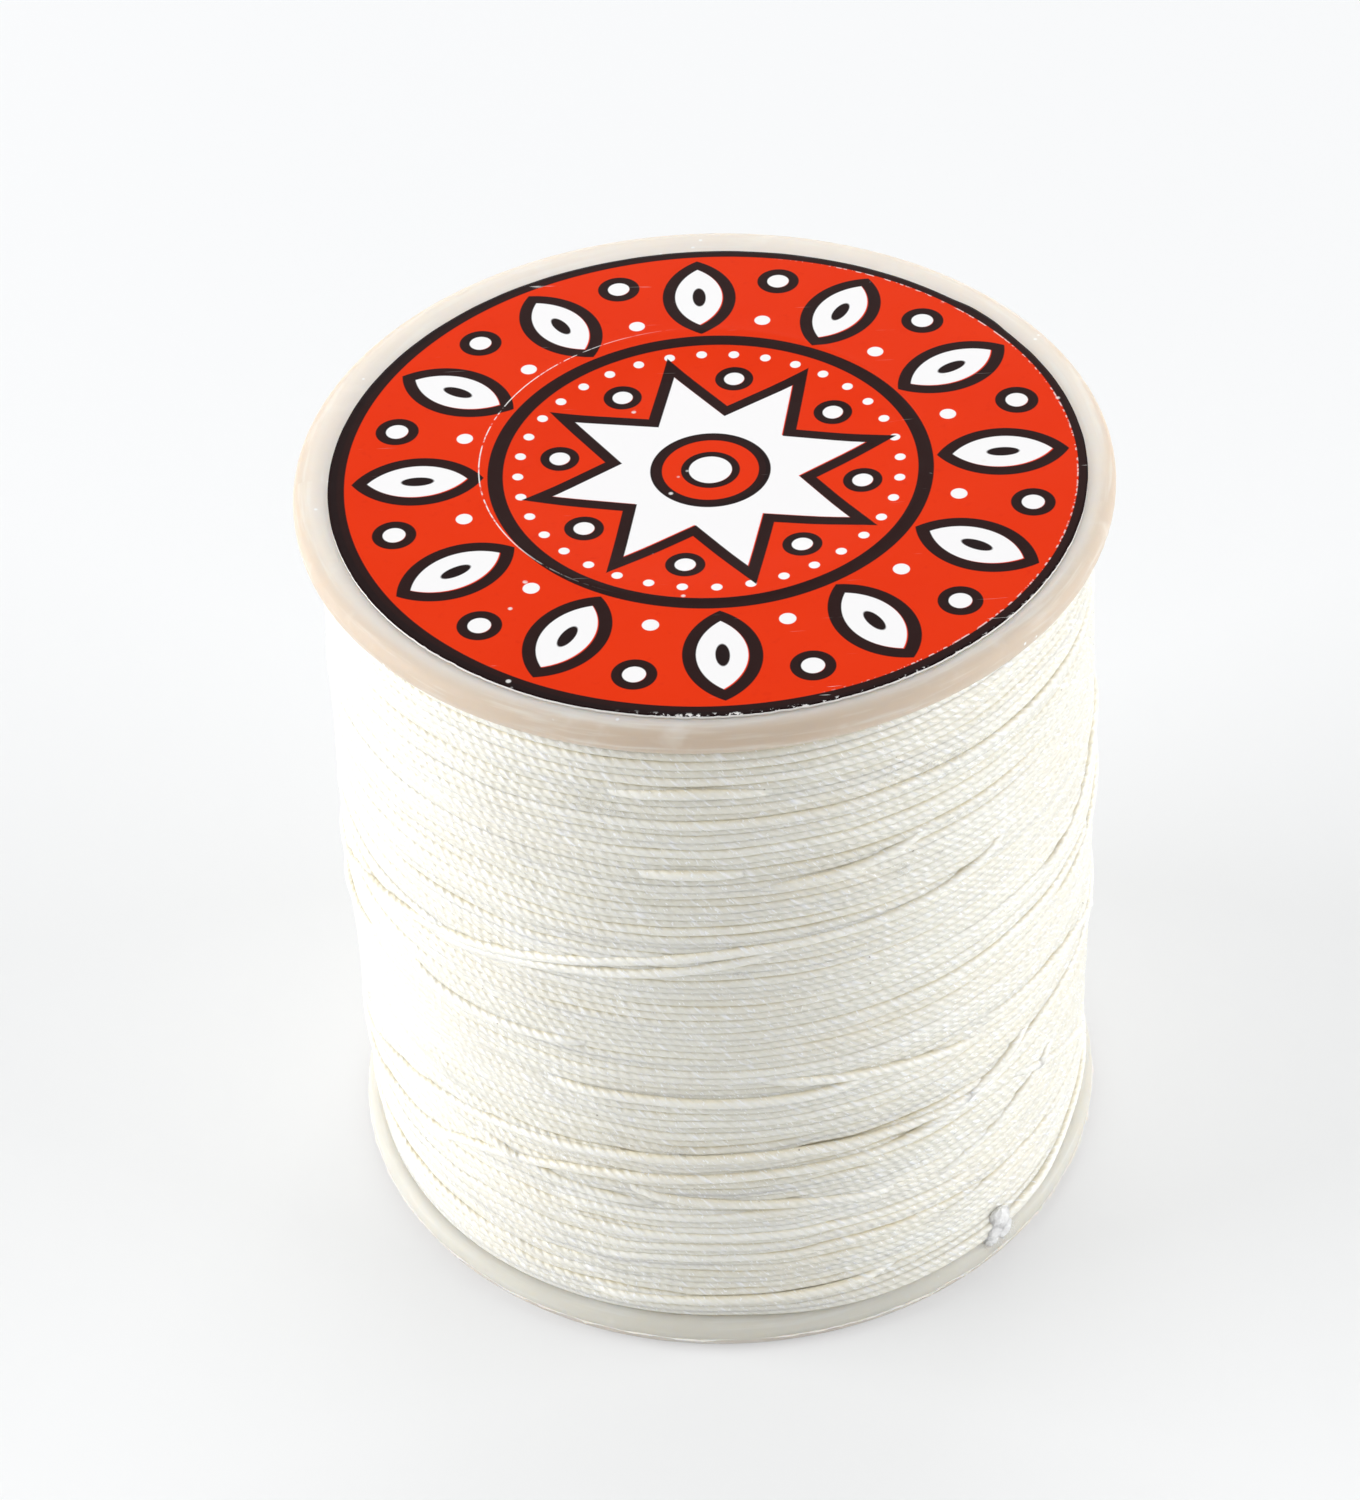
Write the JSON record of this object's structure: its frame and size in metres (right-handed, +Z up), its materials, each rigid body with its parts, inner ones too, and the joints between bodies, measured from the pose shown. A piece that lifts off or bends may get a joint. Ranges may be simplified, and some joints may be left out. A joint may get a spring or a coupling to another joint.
{
  "type": "waxed thread spool",
  "caption": "Two-piece moulded flanged spool wound with off-white waxed linen sewing thread, with a printed paper disc on one end.",
  "frame": {"origin": "centre of the lower flange's outer face, on which the spool stands", "axes": "+Z up along the spool's axis, towards the printed disc; +X to the right and -Y towards the side where the thread's end is tucked in"},
  "size_m": [0.05, 0.05, 0.0534],
  "materials": {
    "natural_plastic": "natural translucent polypropylene, satin as moulded",
    "waxed_linen": "three-ply linen thread, glazed with wax",
    "printed_paper": "gloss-varnished paper, printed in red-orange, black and white"
  },
  "bodies": {
    "root": {"lower_half": "natural_plastic", "upper_half": "natural_plastic", "thread_winding": "waxed_linen", "thread_tail": "waxed_linen", "label_disc": "printed_paper"}
  },
  "joints": []
}
